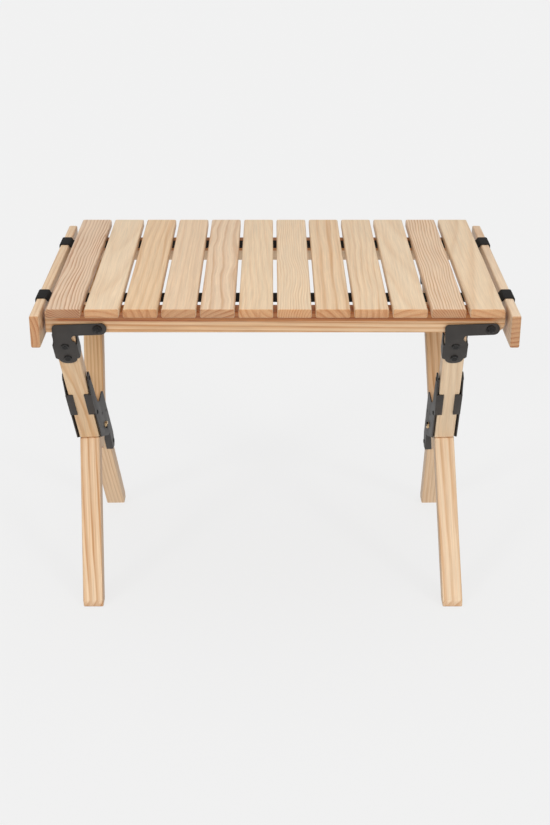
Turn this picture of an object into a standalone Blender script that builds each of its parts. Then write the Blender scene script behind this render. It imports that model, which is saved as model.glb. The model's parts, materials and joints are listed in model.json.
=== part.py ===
"""Folding camping table: a loose slatted top on webbing straps over two crossed leg frames and two rails.

Metres, +Z up. The origin is on the floor under the middle of the top. X runs along the table,
from the left legs to the right ones, and +Y runs from the front edge to the rear one.
"""

import math

import bmesh
import bpy
from mathutils import Matrix, Vector

# Tabletop
TOP_HEIGHT = 0.470
SLAT_COUNT = 12
MIDDLE_SLAT = 6
SLAT_WIDTH = 0.045
SLAT_GAP = 0.00545
SLAT_LENGTH = 0.400
SLAT_THICK = 0.0128
SLAT_EASE = 0.0016
STRAP_WIDTH = 0.034
STRAP_THICK = 0.0014
STRAP_FROM_END = 0.083
STRAP_END_ROOM = 0.0030
END_HINGE_OFF = 0.0067
END_SLAT_OFF = 0.0093
END_SLAT_RISE = 0.0050
END_STRAP_DROP = 0.036
STRAP_BEND = 0.0010

# Rails
RAIL_LENGTH = 0.611
RAIL_WIDTH = 0.028
RAIL_OUTER_Y = 0.165
RAIL_END_ROUND = 0.014
RAIL_ROUND_STEPS = 8
FRAME_SHIFT_Y = -0.010

# Leg frames
LEG_WIDTH = 0.0287
LEG_THICK = 0.023
LEG_ANGLE = math.radians(31.3)
LEG_INSET = 0.0148
LEG_EASE = 0.0012
CROSS_BELOW_PIVOT = 0.2178
PIVOT_HEIGHT = 0.4336
PIVOT_ABOVE_RAIL_BASE = 0.0061
PIVOT_SIDE = 0.046
PIVOT_X = (-0.236, 0.2864)
FOOT_END_Y = 0.168
LEAN = math.radians(2.4)
CORE_HALF_LENGTH = 0.034
FOOT_OVER = 0.020

# Steel brackets between legs and rails
STEEL = 0.0020
BRACKET_OFF_RAIL = 0.0018
ARM_HALF = 0.0080
ARM_END = 0.0121
ARM_CORNER = 0.0050
NOTCH_RADIUS = 0.0045
FLANGE_TOP = 0.2540
FLANGE_BASE = 0.2225
FLANGE_CORNER = 0.0030
EAR_START = 0.0085
EAR_DEPTH = 0.0165
EAR_CORNER = 0.0040
EAR_BELOW_RAIL = 0.0012
TONGUE_END = 0.2130
TONGUE_HALF = 0.0125
TONGUE_CORNER = 0.0105
BRACKET_SCREWS = (0.2515, 0.2250)

# Steel plates over the crossing of each leg frame
PLATE_OFF_WOOD = 0.0022
PLATE_THICK = 0.0018
TAB_REACH = 0.0105
UPPER_TAB = (0.086, 0.135)
LOWER_TAB = (-0.089, -0.043)
UPPER_TIP = (-0.0263, 0.163)
LOWER_TIP = (0.0263, -0.0915)
UPPER_TIP_RADIUS = 0.0060
LOWER_TIP_RADIUS = 0.0062
TIP_NECK = (0.0020, 0.145)
PLATE_NOTCH = ((-0.0135, 0.080), (-0.0002, 0.0617), (0.0265, 0.0480), (0.0330, 0.040))
PLATE_SIDE = (0.0010, -0.076)
PLATE_SLANT = ((0.0020, -0.0330), (-0.0220, 0.0020))
PLATE_START = 0.0245
PIN_RADIUS = 0.0048
PIN_PLAY = 0.0012
PIN_EASE = 0.0006
PIN_OVER = 0.0035

# Fasteners
SHANK_RADIUS = 0.0022
RIVET_SHANK = 0.0026
RIVET_HEAD = 0.0060
RIVET_RISE = 0.0024
TAIL_SHARE = 0.8
TAIL_RISE = 0.0012
SCREW_HEAD = 0.0052
SCREW_RISE = 0.0020
SCREW_LENGTH = 0.0155
SCREW_BORE_DEPTH = 0.0175
BORE_PLAY = 0.0003
WASHER_THICK = 0.0012

GAP = 0.0003
FACE_CLEAR = 0.0001
CUTTER_OVER = 0.0025

PITCH = SLAT_WIDTH + SLAT_GAP
SLAT_BASE = TOP_HEIGHT - SLAT_THICK
STRAP_TOP = SLAT_BASE - GAP
STRAP_MIDDLE = STRAP_TOP - STRAP_THICK / 2
FRONT_RAIL_TOP = SLAT_BASE - GAP
REAR_RAIL_TOP = STRAP_TOP - STRAP_THICK - GAP
RAIL_BASE = PIVOT_HEIGHT - PIVOT_ABOVE_RAIL_BASE
LEG_OUT = LEG_INSET + LEG_THICK
LEG_HALF = LEG_WIDTH / 2
TOP_HALF = (SLAT_COUNT * PITCH - SLAT_GAP) / 2
END_HINGE_X = TOP_HALF + END_HINGE_OFF
SIDE_NAMES = ("left", "right")


def colour(hex_text):
    """Linear RGBA of an sRGB hex colour."""
    parts = [int(hex_text[i:i + 2], 16) / 255 for i in (0, 2, 4)]
    return [p / 12.92 if p <= 0.04045 else ((p + 0.055) / 1.055) ** 2.4 for p in parts] + [1.0]


def make_material(name, hex_text, roughness, metallic=0.0):
    """A Principled material of one colour."""
    material = bpy.data.materials.new(name)
    material.use_nodes = True
    shader = material.node_tree.nodes["Principled BSDF"]
    shader.inputs["Base Color"].default_value = colour(hex_text)
    shader.inputs["Roughness"].default_value = roughness
    shader.inputs["Metallic"].default_value = metallic
    return material


def wood(name):
    return make_material(name, "D9B489", 0.6)


def steel(name):
    return make_material(name, "47464A", 0.5, 0.3)


def webbing(name):
    return make_material(name, "17171A", 0.85)


def brass(name):
    return make_material(name, "B9935A", 0.4, 0.8)


def empty(name, location, parent=None, turn=0.0):
    """An empty that carries a moving group on its joint's axis."""
    carrier = bpy.data.objects.new(name, None)
    bpy.context.collection.objects.link(carrier)
    carrier.parent = parent
    carrier.location = location
    carrier.rotation_euler = (0, turn, 0)
    return carrier


def add_object(name, bm, material=None, parent=None, location=(0, 0, 0)):
    """Turn a bmesh into a named object with outward faces."""
    bmesh.ops.recalc_face_normals(bm, faces=bm.faces)
    mesh = bpy.data.meshes.new(name)
    bm.to_mesh(mesh)
    bm.free()
    obj = bpy.data.objects.new(name, mesh)
    bpy.context.collection.objects.link(obj)
    obj.parent = parent
    obj.location = location
    if material:
        mesh.materials.append(material)
    return obj


def add_prism(bm, outline, depth):
    """Add a solid: a flat outline of 3-D points pushed along the vector depth."""
    verts = [bm.verts.new(point) for point in outline]
    face = bm.faces.new(verts)
    pushed = bmesh.ops.extrude_face_region(bm, geom=[face])
    moved = [item for item in pushed["geom"] if isinstance(item, bmesh.types.BMVert)]
    bmesh.ops.translate(bm, verts=moved, vec=depth)


def box(low, high):
    """A bmesh box between two corners."""
    bm = bmesh.new()
    corners = [(low[0], low[1]), (high[0], low[1]), (high[0], high[1]), (low[0], high[1])]
    add_prism(bm, [(x, y, low[2]) for x, y in corners], (0, 0, high[2] - low[2]))
    return bm


def add_turned(bm, profile, place, segments=12):
    """Add a solid of revolution. The profile is (radius, height) from one end of the axis to the other."""
    points = [bm.verts.new((radius, 0, height)) for radius, height in profile]
    edges = [bm.edges.new(pair) for pair in zip(points, points[1:])]
    spun = bmesh.ops.spin(
        bm, geom=points + edges, cent=(0, 0, 0), axis=(0, 0, 1), angle=2 * math.pi, steps=segments
    )
    ring = {item for item in spun["geom_last"] if isinstance(item, bmesh.types.BMVert)} | set(points)
    bmesh.ops.remove_doubles(bm, verts=list(ring), dist=0.00001)
    fresh = [v for v in bm.verts if not v.tag]
    bmesh.ops.remove_doubles(bm, verts=fresh, dist=0.00001)
    fresh = [v for v in bm.verts if not v.tag]
    bmesh.ops.transform(bm, matrix=place, verts=fresh)
    for vert in fresh:
        vert.tag = True


def facing(direction, point):
    """A matrix that turns +Z to the direction and moves it to the point."""
    turn = Vector((0, 0, 1)).rotation_difference(Vector(direction))
    return Matrix.Translation(point) @ turn.to_matrix().to_4x4()


def bevel(obj, width, segments=2):
    """Ease every sharp edge."""
    modifier = obj.modifiers.new("ease", "BEVEL")
    modifier.width = width
    modifier.segments = segments
    modifier.limit_method = "ANGLE"
    modifier.angle_limit = math.radians(25)


def combine(target, tool, operation):
    """Join a helper solid to the target, or cut it away."""
    tool.hide_render = True
    tool.display_type = "WIRE"
    modifier = target.modifiers.new(tool.name, "BOOLEAN")
    modifier.operation = operation
    modifier.solver = "EXACT"
    modifier.object = tool


def drill(target, name, bores, parent=None, location=(0, 0, 0), sides=12):
    """Cut round holes: each bore is a point, a direction, a radius and a depth."""
    bm = bmesh.new()
    for point, direction, radius, depth in bores:
        add_turned(bm, [(0, 0), (radius, 0), (radius, depth), (0, depth)], facing(direction, point), sides)
    cutter = add_object(name, bm, None, parent, location)
    combine(target, cutter, "DIFFERENCE")


def dome_profile(head, rise, shank, length):
    """A domed head above z = 0 with a plain shank below it."""
    return [
        (0, rise),
        (head * 0.45, rise * 0.86),
        (head * 0.82, rise * 0.5),
        (head, rise * 0.12),
        (head, 0),
        (shank, 0),
        (shank, -length),
        (0, -length),
    ]


def leg_point(u, s, x=0.0, side=1):
    """A leg frame's point, u across the board and s along it from the crossing. side -1 mirrors it in Y."""
    y = u * math.cos(LEG_ANGLE) - s * math.sin(LEG_ANGLE)
    z = u * math.sin(LEG_ANGLE) + s * math.cos(LEG_ANGLE)
    return Vector((x, side * y, z))


def leg_normal(side=1):
    """The outward normal of the outer face of an upper board."""
    return -(leg_point(1, 0, 0, side))


def along_at_height(u, z):
    """How far along a board the line at u reaches the height z."""
    return (z - u * math.sin(LEG_ANGLE)) / math.cos(LEG_ANGLE)


def along_at_depth(u, y):
    """How far along a board the line at u reaches the depth y."""
    return (u * math.cos(LEG_ANGLE) - y) / math.sin(LEG_ANGLE)


def arc(centre, radius, start, stop, steps):
    """Points of an arc in a plane, angles in degrees."""
    points = []
    for step in range(steps + 1):
        angle = math.radians(start + (stop - start) * step / steps)
        points.append((centre[0] + radius * math.cos(angle), centre[1] + radius * math.sin(angle)))
    return points


def slat_x(number):
    """The middle of a slat, numbered from 1 at the left."""
    return (number - (SLAT_COUNT + 1) / 2) * PITCH


def strap_places():
    """The near and far edges of both straps, as Y values."""
    middle = SLAT_LENGTH / 2 - STRAP_FROM_END
    return [(sign * middle - STRAP_WIDTH / 2, sign * middle + STRAP_WIDTH / 2) for sign in (-1, 1)]


def slat_hinge_x(number):
    """Where a slat turns on the straps: the middle of the gap towards the top's middle."""
    if number == MIDDLE_SLAT:
        return slat_x(number)
    towards_middle = -1 if number > MIDDLE_SLAT else 1
    return slat_x(number) + towards_middle * PITCH / 2


def make_slats():
    """The slats, each with its origin on the line that it turns about when the top is rolled."""
    half = SLAT_WIDTH / 2
    base = SLAT_BASE - STRAP_MIDDLE
    for number in range(1, SLAT_COUNT + 1):
        hinge = slat_hinge_x(number)
        middle = slat_x(number) - hinge
        low = (middle - half, -SLAT_LENGTH / 2, base)
        high = (middle + half, SLAT_LENGTH / 2, base + SLAT_THICK)
        bm = box(low, high)
        place = (hinge, 0, STRAP_MIDDLE)
        slat = add_object(f"slat_{number:02d}", bm, wood(f"slat_wood_{number:02d}"), None, place)
        bevel(slat, SLAT_EASE)


def make_straps():
    """The two long straps under the slats, stopped short of the end slats' hinges to let these fold."""
    reach = END_HINGE_X - STRAP_END_ROOM
    for label, (low, high) in zip(("front", "rear"), strap_places()):
        bm = box((-reach, low, -STRAP_THICK / 2), (reach, high, STRAP_THICK / 2))
        add_object(label + "_strap", bm, webbing(label + "_strap_webbing"), None, (0, 0, STRAP_MIDDLE))


def end_strap_outline(sign):
    """Side view of a strap over an end slat's top edge and down its outer face, from the hinge at 0."""
    inner = END_SLAT_OFF - END_HINGE_OFF
    face = inner + SLAT_THICK + GAP
    back = face + STRAP_THICK
    half = STRAP_THICK / 2
    base = END_SLAT_RISE - half
    top = base + STRAP_THICK
    outer = [(GAP, half), (inner - STRAP_BEND, top - STRAP_BEND), (inner + STRAP_BEND, top)]
    outer += [(face - STRAP_BEND / 2, top), (back - STRAP_BEND / 2, top - STRAP_BEND / 2)]
    outer += [(back, top - 2 * STRAP_BEND), (back, -END_STRAP_DROP)]
    under = [(face, -END_STRAP_DROP), (face, base - STRAP_BEND / 2), (face - STRAP_BEND / 2, base)]
    under += [(inner + STRAP_BEND / 2, base), (inner - GAP, base - STRAP_BEND), (GAP, -half)]
    return [(sign * x, z) for x, z in outer + under]


def make_end_slats():
    """The two slats that hang at the ends, each on its own stretch of both straps."""
    for sign, side in zip((-1, 1), SIDE_NAMES):
        hinge = (sign * END_HINGE_X, 0, STRAP_MIDDLE)
        slat_in = END_SLAT_OFF - END_HINGE_OFF
        top = END_SLAT_RISE - STRAP_THICK / 2 - GAP
        low_x, high_x = sorted((sign * slat_in, sign * (slat_in + SLAT_THICK)))
        bm = box((low_x, -SLAT_LENGTH / 2, top - SLAT_WIDTH), (high_x, SLAT_LENGTH / 2, top))
        slat = add_object(f"end_slat_{side}", bm, wood(f"end_slat_wood_{side}"), None, hinge)
        bevel(slat, SLAT_EASE)
        for label, (low, high) in zip(("front", "rear"), strap_places()):
            bm = bmesh.new()
            add_prism(bm, [(x, low, z) for x, z in end_strap_outline(sign)], (0, high - low, 0))
            name = f"{label}_strap_end_{side}"
            add_object(name, bm, webbing(name + "_webbing"), None, hinge)


def make_rail(name, side):
    """A rail with its lower right corner rounded, bored for the bracket rivets.

    side -1 is the front one, which the slats touch. The rear one lies lower, under the rear strap.
    """
    low_x = -RAIL_LENGTH / 2 - PIVOT_X[0]
    high_x = RAIL_LENGTH / 2 - PIVOT_X[0]
    low_z = RAIL_BASE - PIVOT_HEIGHT
    high_z = (FRONT_RAIL_TOP if side < 0 else REAR_RAIL_TOP) - PIVOT_HEIGHT
    corner = (high_x - RAIL_END_ROUND, low_z + RAIL_END_ROUND)
    outline = [(low_x, low_z)] + arc(corner, RAIL_END_ROUND, -90, 0, RAIL_ROUND_STEPS)
    outline += [(high_x, high_z), (low_x, high_z)]
    bm = bmesh.new()
    add_prism(bm, [(x, 0, z) for x, z in outline], (0, -side * RAIL_WIDTH, 0))
    place = (PIVOT_X[0], FRAME_SHIFT_Y + side * RAIL_OUTER_Y, PIVOT_HEIGHT)
    rail = add_object(name, bm, wood(name + "_wood"), None, place)
    bevel(rail, LEG_EASE)
    bores = []
    for pivot in PIVOT_X:
        start = (pivot - PIVOT_X[0], side * 0.01, 0)
        bores.append((start, (0, -side, 0), RIVET_SHANK + BORE_PLAY, RAIL_WIDTH + 0.02))
    drill(rail, name + "_bores", bores, None, place)


def make_pivot_rivets(label, side):
    """The rivets that the brackets turn on, each with the washer that keeps its bracket off the rail."""
    head_face = BRACKET_OFF_RAIL + STEEL + GAP
    length = head_face + RAIL_WIDTH + GAP
    tail = RIVET_HEAD * TAIL_SHARE
    for pivot, side_name in zip(PIVOT_X, SIDE_NAMES):
        place = (pivot, FRAME_SHIFT_Y + side * RAIL_OUTER_Y, PIVOT_HEIGHT)
        profile = dome_profile(RIVET_HEAD, RIVET_RISE, RIVET_SHANK, length)[:-1]
        profile += [(tail, -length), (tail, -length - TAIL_RISE), (0, -length - TAIL_RISE)]
        bm = bmesh.new()
        add_turned(bm, profile, facing((0, side, 0), (0, side * head_face, 0)))
        name = f"{side_name}_{label}_pivot_rivet"
        add_object(name, bm, steel(name + "_steel"), None, place)
        hole = RIVET_SHANK + BORE_PLAY
        ring = [(hole, 0), (RIVET_HEAD, 0), (RIVET_HEAD, WASHER_THICK), (hole, WASHER_THICK), (hole, 0)]
        bm = bmesh.new()
        add_turned(bm, ring, facing((0, side, 0), (0, side * GAP, 0)))
        name = f"{side_name}_{label}_pivot_washer"
        add_object(name, bm, steel(name + "_steel"), None, place)


def upper_outline(side):
    """Side view of an upper half leg: level foot on the crossing, upright nose under the rail."""
    base = GAP / 2
    top = RAIL_BASE - PIVOT_HEIGHT + CROSS_BELOW_PIVOT - GAP
    nose = along_at_depth(-LEG_OUT, -RAIL_OUTER_Y)
    points = [leg_point(-LEG_OUT, along_at_height(-LEG_OUT, base), 0, side)]
    points.append(leg_point(-LEG_OUT, nose, 0, side))
    points.append(Vector((0, -side * RAIL_OUTER_Y, top)))
    points.append(leg_point(-LEG_INSET, along_at_height(-LEG_INSET, top), 0, side))
    points.append(leg_point(-LEG_INSET, along_at_height(-LEG_INSET, base), 0, side))
    return points


def lower_outline(side):
    """Side view of a lower half leg, with its foot's end cut upright and its base left long."""
    base = -CROSS_BELOW_PIVOT
    heel = along_at_depth(LEG_OUT, FOOT_END_Y)
    points = [leg_point(LEG_OUT, along_at_height(LEG_OUT, -GAP / 2), 0, side)]
    points.append(leg_point(LEG_OUT, heel, 0, side))
    points.append(Vector((0, side * FOOT_END_Y, base - FOOT_OVER)))
    points.append(leg_point(LEG_INSET, along_at_height(LEG_INSET, base - FOOT_OVER), 0, side))
    points.append(leg_point(LEG_INSET, along_at_height(LEG_INSET, -GAP / 2), 0, side))
    return points


def cut_level(bm, place):
    """Trim a foot level with the floor, given the matrix that places it."""
    back = place.inverted()
    normal = back.to_3x3() @ Vector((0, 0, 1))
    geom = bm.verts[:] + bm.edges[:] + bm.faces[:]
    floor = back @ Vector((0, 0, 0))
    cut = bmesh.ops.bisect_plane(bm, geom=geom, plane_co=floor, plane_no=normal, clear_inner=True)
    edges = [item for item in cut["geom_cut"] if isinstance(item, bmesh.types.BMEdge)]
    bmesh.ops.contextual_create(bm, geom=edges)


def add_board(bm, outline):
    """A board of the leg's width from its side view."""
    add_prism(bm, [point - Vector((LEG_HALF, 0, 0)) for point in outline], (LEG_WIDTH, 0, 0))


def bracket_screws(side):
    """Where the two bracket screws enter an upper board, and which way they point."""
    inward = -leg_normal(side)
    face = -LEG_OUT - GAP - STEEL - FACE_CLEAR
    return [(leg_point(face, s, 0, side), inward) for s in BRACKET_SCREWS]


def make_half_legs(prefix, side, place, parent, location):
    """Both boards of one leg, the upper one bored for the bracket screws and the lower one cut level."""
    bm = bmesh.new()
    add_board(bm, upper_outline(side))
    upper = add_object(prefix + "_upper", bm, wood(prefix + "_upper_wood"), parent, location)
    bevel(upper, LEG_EASE, 1)
    hole = SHANK_RADIUS + BORE_PLAY
    bores = [(point, way, hole, SCREW_BORE_DEPTH) for point, way in bracket_screws(side)]
    drill(upper, prefix + "_upper_bores", bores, parent, location, 8)
    bm = bmesh.new()
    add_board(bm, lower_outline(side))
    cut_level(bm, place)
    lower = add_object(prefix + "_lower", bm, wood(prefix + "_lower_wood"), parent, location)
    bevel(lower, LEG_EASE, 1)


def make_core(prefix, side, parent, location):
    """The block glued between the two boards of the whole leg, bored for the centre pin."""
    half = LEG_INSET - GAP
    end = CORE_HALF_LENGTH
    corners = [(-half, -end), (half, -end), (half, end), (-half, end)]
    bm = bmesh.new()
    add_board(bm, [leg_point(u, s, 0, side) for u, s in corners])
    core = add_object(prefix + "_core", bm, wood(prefix + "_core_wood"), parent, location)
    bore = ((-LEG_WIDTH, 0, 0), (1, 0, 0), PIN_RADIUS + BORE_PLAY, 2 * LEG_WIDTH)
    drill(core, prefix + "_core_bore", [bore], parent, location)


def plate_outline():
    """Outline of a centre plate on the split leg, as u and s from the crossing."""
    edge = -LEG_OUT - GAP
    tab = edge - PLATE_THICK
    outline = [(edge, PLATE_START), (edge, UPPER_TAB[0]), (tab, UPPER_TAB[0])]
    outline += [(tab, UPPER_TAB[1]), (edge, UPPER_TAB[1]), (edge + TIP_NECK[0], TIP_NECK[1])]
    outline += arc(UPPER_TIP, UPPER_TIP_RADIUS, 165, 15, 4)
    outline += list(PLATE_NOTCH)
    outline += [(LEG_OUT - PLATE_SIDE[0], PLATE_SIDE[1])]
    outline += arc(LOWER_TIP, LOWER_TIP_RADIUS, -10, -150, 4)
    inner = LEG_INSET - GAP
    tab = inner - PLATE_THICK
    outline += [(inner, LOWER_TAB[0]), (tab, LOWER_TAB[0]), (tab, LOWER_TAB[1])]
    outline += list(PLATE_SLANT)
    return outline


def make_centre_plate(name, face, side, parent, location):
    """A centre plate on one side of the crossing, with its two tabs bent round the boards' outer edges."""
    start = face * (LEG_HALF + PLATE_OFF_WOOD)
    bm = bmesh.new()
    outline = [leg_point(u, s, start, side) for u, s in plate_outline()]
    add_prism(bm, outline, (face * PLATE_THICK, 0, 0))
    plate = add_object(name, bm, steel(name + "_steel"), parent, location)
    outer_u = -LEG_OUT - GAP
    inner_u = LEG_INSET - GAP
    for number, (u, (low, high)) in enumerate(((outer_u, UPPER_TAB), (inner_u, LOWER_TAB))):
        bm = bmesh.new()
        tab_start = start + face * PLATE_THICK * 0.5
        corners = [(u, low), (u - PLATE_THICK, low), (u - PLATE_THICK, high), (u, high)]
        tab = [leg_point(cu, cs, tab_start, side) for cu, cs in corners]
        add_prism(bm, tab, (-face * (TAB_REACH - PLATE_THICK * 0.5), 0, 0))
        helper = add_object(f"{name}_tab_{number}", bm, None, parent, location)
        combine(plate, helper, "UNION")
    point = Vector((start - face * CUTTER_OVER, 0, 0))
    bore = (point, (face, 0, 0), PIN_RADIUS + PIN_PLAY, STEEL + 2 * CUTTER_OVER)
    drill(plate, name + "_bore", [bore], parent, location)


def make_centre_pin(name, parent, location):
    """The pin that the leg frame folds on. It stands out of both plates."""
    half = LEG_HALF + PLATE_OFF_WOOD + PLATE_THICK + PIN_OVER
    bm = bmesh.new()
    profile = [(0, half), (PIN_RADIUS - PIN_EASE, half), (PIN_RADIUS, half - PIN_EASE)]
    profile += [(radius, -height) for radius, height in reversed(profile)]
    add_turned(bm, profile, facing((1, 0, 0), (0, 0, 0)), 16)
    add_object(name, bm, brass(name + "_brass"), parent, location)


def bracket_plate_outline():
    """Front view of a bracket's arm and neck, from the leg's middle and the crossing's height.

    The neck has a round notch under the arm.
    """
    middle = CROSS_BELOW_PIVOT
    left = -LEG_HALF - GAP
    right = LEG_HALF + GAP
    base = along_z(-LEG_OUT - GAP - STEEL, bend_along())
    points = [(left, base), (right, base)]
    points += arc((right, middle - ARM_HALF - NOTCH_RADIUS), NOTCH_RADIUS, 270, 90, 8)
    end = PIVOT_SIDE + ARM_END - ARM_HALF
    points += arc((end, middle), ARM_HALF, -90, 90, 8)
    points += arc((left + ARM_CORNER, middle + ARM_HALF - ARM_CORNER), ARM_CORNER, 90, 180, 4)
    return points


def along_z(u, s):
    """The height of a leg point."""
    return u * math.sin(LEG_ANGLE) + s * math.cos(LEG_ANGLE)


def bend_along():
    """How far along the board a bracket's outer face bends back to follow it."""
    return along_at_depth(-LEG_OUT - GAP - STEEL, -RAIL_OUTER_Y - BRACKET_OFF_RAIL - STEEL)


def make_bracket(name, side, parent, location):
    """An L bracket: its arm turns on the rail, and its folded foot is screwed round the leg's top."""
    back = -side * (RAIL_OUTER_Y + BRACKET_OFF_RAIL)
    bm = bmesh.new()
    add_prism(bm, [(x, back, z) for x, z in bracket_plate_outline()], (0, -side * STEEL, 0))
    bracket = add_object(name, bm, steel(name + "_steel"), parent, location)
    near = -LEG_OUT - GAP
    side_x = LEG_HALF + GAP
    wide = side_x + STEEL
    outline = [(-side_x, bend_along()), (-side_x, FLANGE_TOP), (-wide, FLANGE_TOP)]
    outline += [(-wide, FLANGE_BASE + FLANGE_CORNER), (-wide + FLANGE_CORNER, FLANGE_BASE)]
    outline += [(-TONGUE_HALF, FLANGE_BASE)]
    corner = (-TONGUE_HALF + TONGUE_CORNER, TONGUE_END + TONGUE_CORNER)
    outline += arc(corner, TONGUE_CORNER, 180, 270, 6)
    outline += [(-x, s) for x, s in reversed(outline)]
    bm = bmesh.new()
    add_prism(bm, [leg_point(near, s, x, side) for x, s in outline], leg_normal(side) * STEEL)
    tongue = add_object(name + "_tongue", bm, None, parent, location)
    combine(bracket, tongue, "UNION")
    ear_z = RAIL_BASE - PIVOT_HEIGHT + CROSS_BELOW_PIVOT - EAR_BELOW_RAIL
    deep = near + EAR_DEPTH
    ear = near + EAR_START
    fold = near - STEEL * 0.5
    edge = FLANGE_TOP - STEEL * 0.5
    corners = [(fold, FLANGE_BASE + FLANGE_CORNER), (near + FLANGE_CORNER, FLANGE_BASE)]
    corners += [(deep - EAR_CORNER, FLANGE_BASE), (deep, FLANGE_BASE + EAR_CORNER)]
    corners += [(deep, along_at_height(deep, ear_z)), (ear, along_at_height(ear, ear_z))]
    corners += [(ear - STEEL * 0.5, edge), (fold, edge)]
    for face in (-1, 1):
        bm = bmesh.new()
        outline = [leg_point(u, s, face * side_x, side) for u, s in corners]
        add_prism(bm, outline, (face * (STEEL - FACE_CLEAR), 0, 0))
        flange = add_object(f"{name}_flange_{face}", bm, None, parent, location)
        combine(bracket, flange, "UNION")
    start = (PIVOT_SIDE, back + side * CUTTER_OVER, CROSS_BELOW_PIVOT)
    through = STEEL + 2 * CUTTER_OVER
    bores = [(start, (0, -side, 0), RIVET_SHANK + BORE_PLAY, through)]
    for point, way in bracket_screws(side):
        bores.append((point - way * CUTTER_OVER, way, SHANK_RADIUS + BORE_PLAY, through))
    drill(bracket, name + "_bores", bores, parent, location, 10)


def make_bracket_screws(name, side, parent, location):
    """The two domed screws that hold a bracket on its leg."""
    for label, (point, way) in zip(("upper", "lower"), bracket_screws(side)):
        bm = bmesh.new()
        profile = dome_profile(SCREW_HEAD, SCREW_RISE, SHANK_RADIUS, SCREW_LENGTH)
        add_turned(bm, profile, facing(-way, point - way * GAP))
        screw = f"{name}_{label}"
        add_object(screw, bm, steel(screw + "_steel"), parent, location)


def make_leg_frame(pivot_x, side_name):
    """One crossed leg frame, swung about the rivets by the lean that the table stands with."""
    swing = empty(side_name + "_swing", (pivot_x, FRAME_SHIFT_Y, PIVOT_HEIGHT), None, -LEAN)
    crossing = Vector((-PIVOT_SIDE, 0, -CROSS_BELOW_PIVOT))
    fold = empty(side_name + "_fold", crossing, swing)
    turned = Matrix.Translation((pivot_x, FRAME_SHIFT_Y, PIVOT_HEIGHT)) @ Matrix.Rotation(-LEAN, 4, "Y")
    place = turned @ Matrix.Translation(crossing)
    split = side_name + "_leg_a"
    whole = side_name + "_leg_b"
    make_half_legs(split, 1, place, swing, crossing)
    make_bracket(side_name + "_front_bracket", 1, swing, crossing)
    make_bracket_screws(side_name + "_front_bracket_screw", 1, swing, crossing)
    outward = -1 if side_name == "left" else 1
    for label, face in (("outer", outward), ("inner", -outward)):
        make_centre_plate(f"{side_name}_plate_{label}", face, 1, swing, crossing)
    make_half_legs(whole, -1, place, fold, (0, 0, 0))
    make_core(whole, -1, fold, (0, 0, 0))
    make_centre_pin(side_name + "_centre_pin", fold, (0, 0, 0))
    make_bracket(side_name + "_rear_bracket", -1, fold, (0, 0, 0))
    make_bracket_screws(side_name + "_rear_bracket_screw", -1, fold, (0, 0, 0))


def main():
    for obj in list(bpy.data.objects):
        bpy.data.objects.remove(obj)
    make_slats()
    make_straps()
    make_end_slats()
    for label, side in (("front", -1), ("rear", 1)):
        make_rail(label + "_rail", side)
        make_pivot_rivets(label, side)
    for pivot_x, side_name in zip(PIVOT_X, SIDE_NAMES):
        make_leg_frame(pivot_x, side_name)


main()
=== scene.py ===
"""Folding camping table: the finish of every surface and the fine pieces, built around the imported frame.

Run as a script it makes the whole table. Each operator makes one piece or one group of like pieces.
Boards are named by their nodes. Sizes are in metres, and most are written as a number of MM.
"""

import json
import math
from collections import namedtuple

import bpy
from mathutils import Euler, Matrix, Vector


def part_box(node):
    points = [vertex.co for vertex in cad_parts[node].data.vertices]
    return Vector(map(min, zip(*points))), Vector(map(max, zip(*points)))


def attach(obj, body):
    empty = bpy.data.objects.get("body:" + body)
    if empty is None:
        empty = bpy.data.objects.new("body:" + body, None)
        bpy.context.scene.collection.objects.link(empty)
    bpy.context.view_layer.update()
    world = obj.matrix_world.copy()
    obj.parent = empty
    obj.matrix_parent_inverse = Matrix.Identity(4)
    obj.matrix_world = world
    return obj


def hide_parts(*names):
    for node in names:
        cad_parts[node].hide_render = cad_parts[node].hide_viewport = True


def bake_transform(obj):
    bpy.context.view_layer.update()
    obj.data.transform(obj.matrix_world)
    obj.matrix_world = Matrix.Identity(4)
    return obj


bl_info = {
    "name": "Folding camping table",
    "version": (1, 0, 0),
    "blender": (4, 5, 0),
    "location": "View3D > Sidebar > Camp table",
    "description": "Builds the finished pieces of a folding camping table around its packed frame",
    "category": "Object",
}

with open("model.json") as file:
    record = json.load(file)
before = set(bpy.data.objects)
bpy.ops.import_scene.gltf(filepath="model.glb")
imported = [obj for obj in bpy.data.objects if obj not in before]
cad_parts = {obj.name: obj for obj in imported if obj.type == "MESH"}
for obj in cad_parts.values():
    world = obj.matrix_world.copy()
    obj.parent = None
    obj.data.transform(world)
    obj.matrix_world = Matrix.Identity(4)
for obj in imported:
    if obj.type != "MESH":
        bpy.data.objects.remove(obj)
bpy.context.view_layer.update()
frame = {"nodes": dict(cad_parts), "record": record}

MM = 0.001
SLATS = 12
# The sides and ends of the table, and their directions along X and Y
SIDES = {"left": -1, "right": 1}
ENDS = {"front": -1, "rear": 1}
# The two outer faces of a crossing, and their directions along X
FACES = {"a": -1, "b": 1}
# How far the leg frames lean along the table, and how far the legs slope across it
LEAN = math.radians(2.4)
LEG_ANGLE = math.radians(31.3)
# From the middle of a crossing to the outer face of either plate
PLATE_FACE = 18.35 * MM
# Points closer than this are one point, and faces that meet at less than this are one flat face
MERGE = 0.01 * MM
FLAT = math.radians(1.0)

# Half sections of round heads, from the axis outwards, as shares of the radius and of the rise
DISHED_HEAD = (
    (0, -0.40),
    (0.20, -0.42),
    (0.30, -0.78),
    (0.50, -0.80),
    (0.76, -0.18),
    (0.86, -0.08),
    (0.95, -0.30),
    (1.0, -0.62),
    (1.0, -1.0),
)
DIMPLE = ((0, -2.2), (0.45, -2.0), (0.72, -0.9), (0.84, -0.1), (0.93, 0), (1.0, -0.3), (1.0, -1.0))

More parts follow.
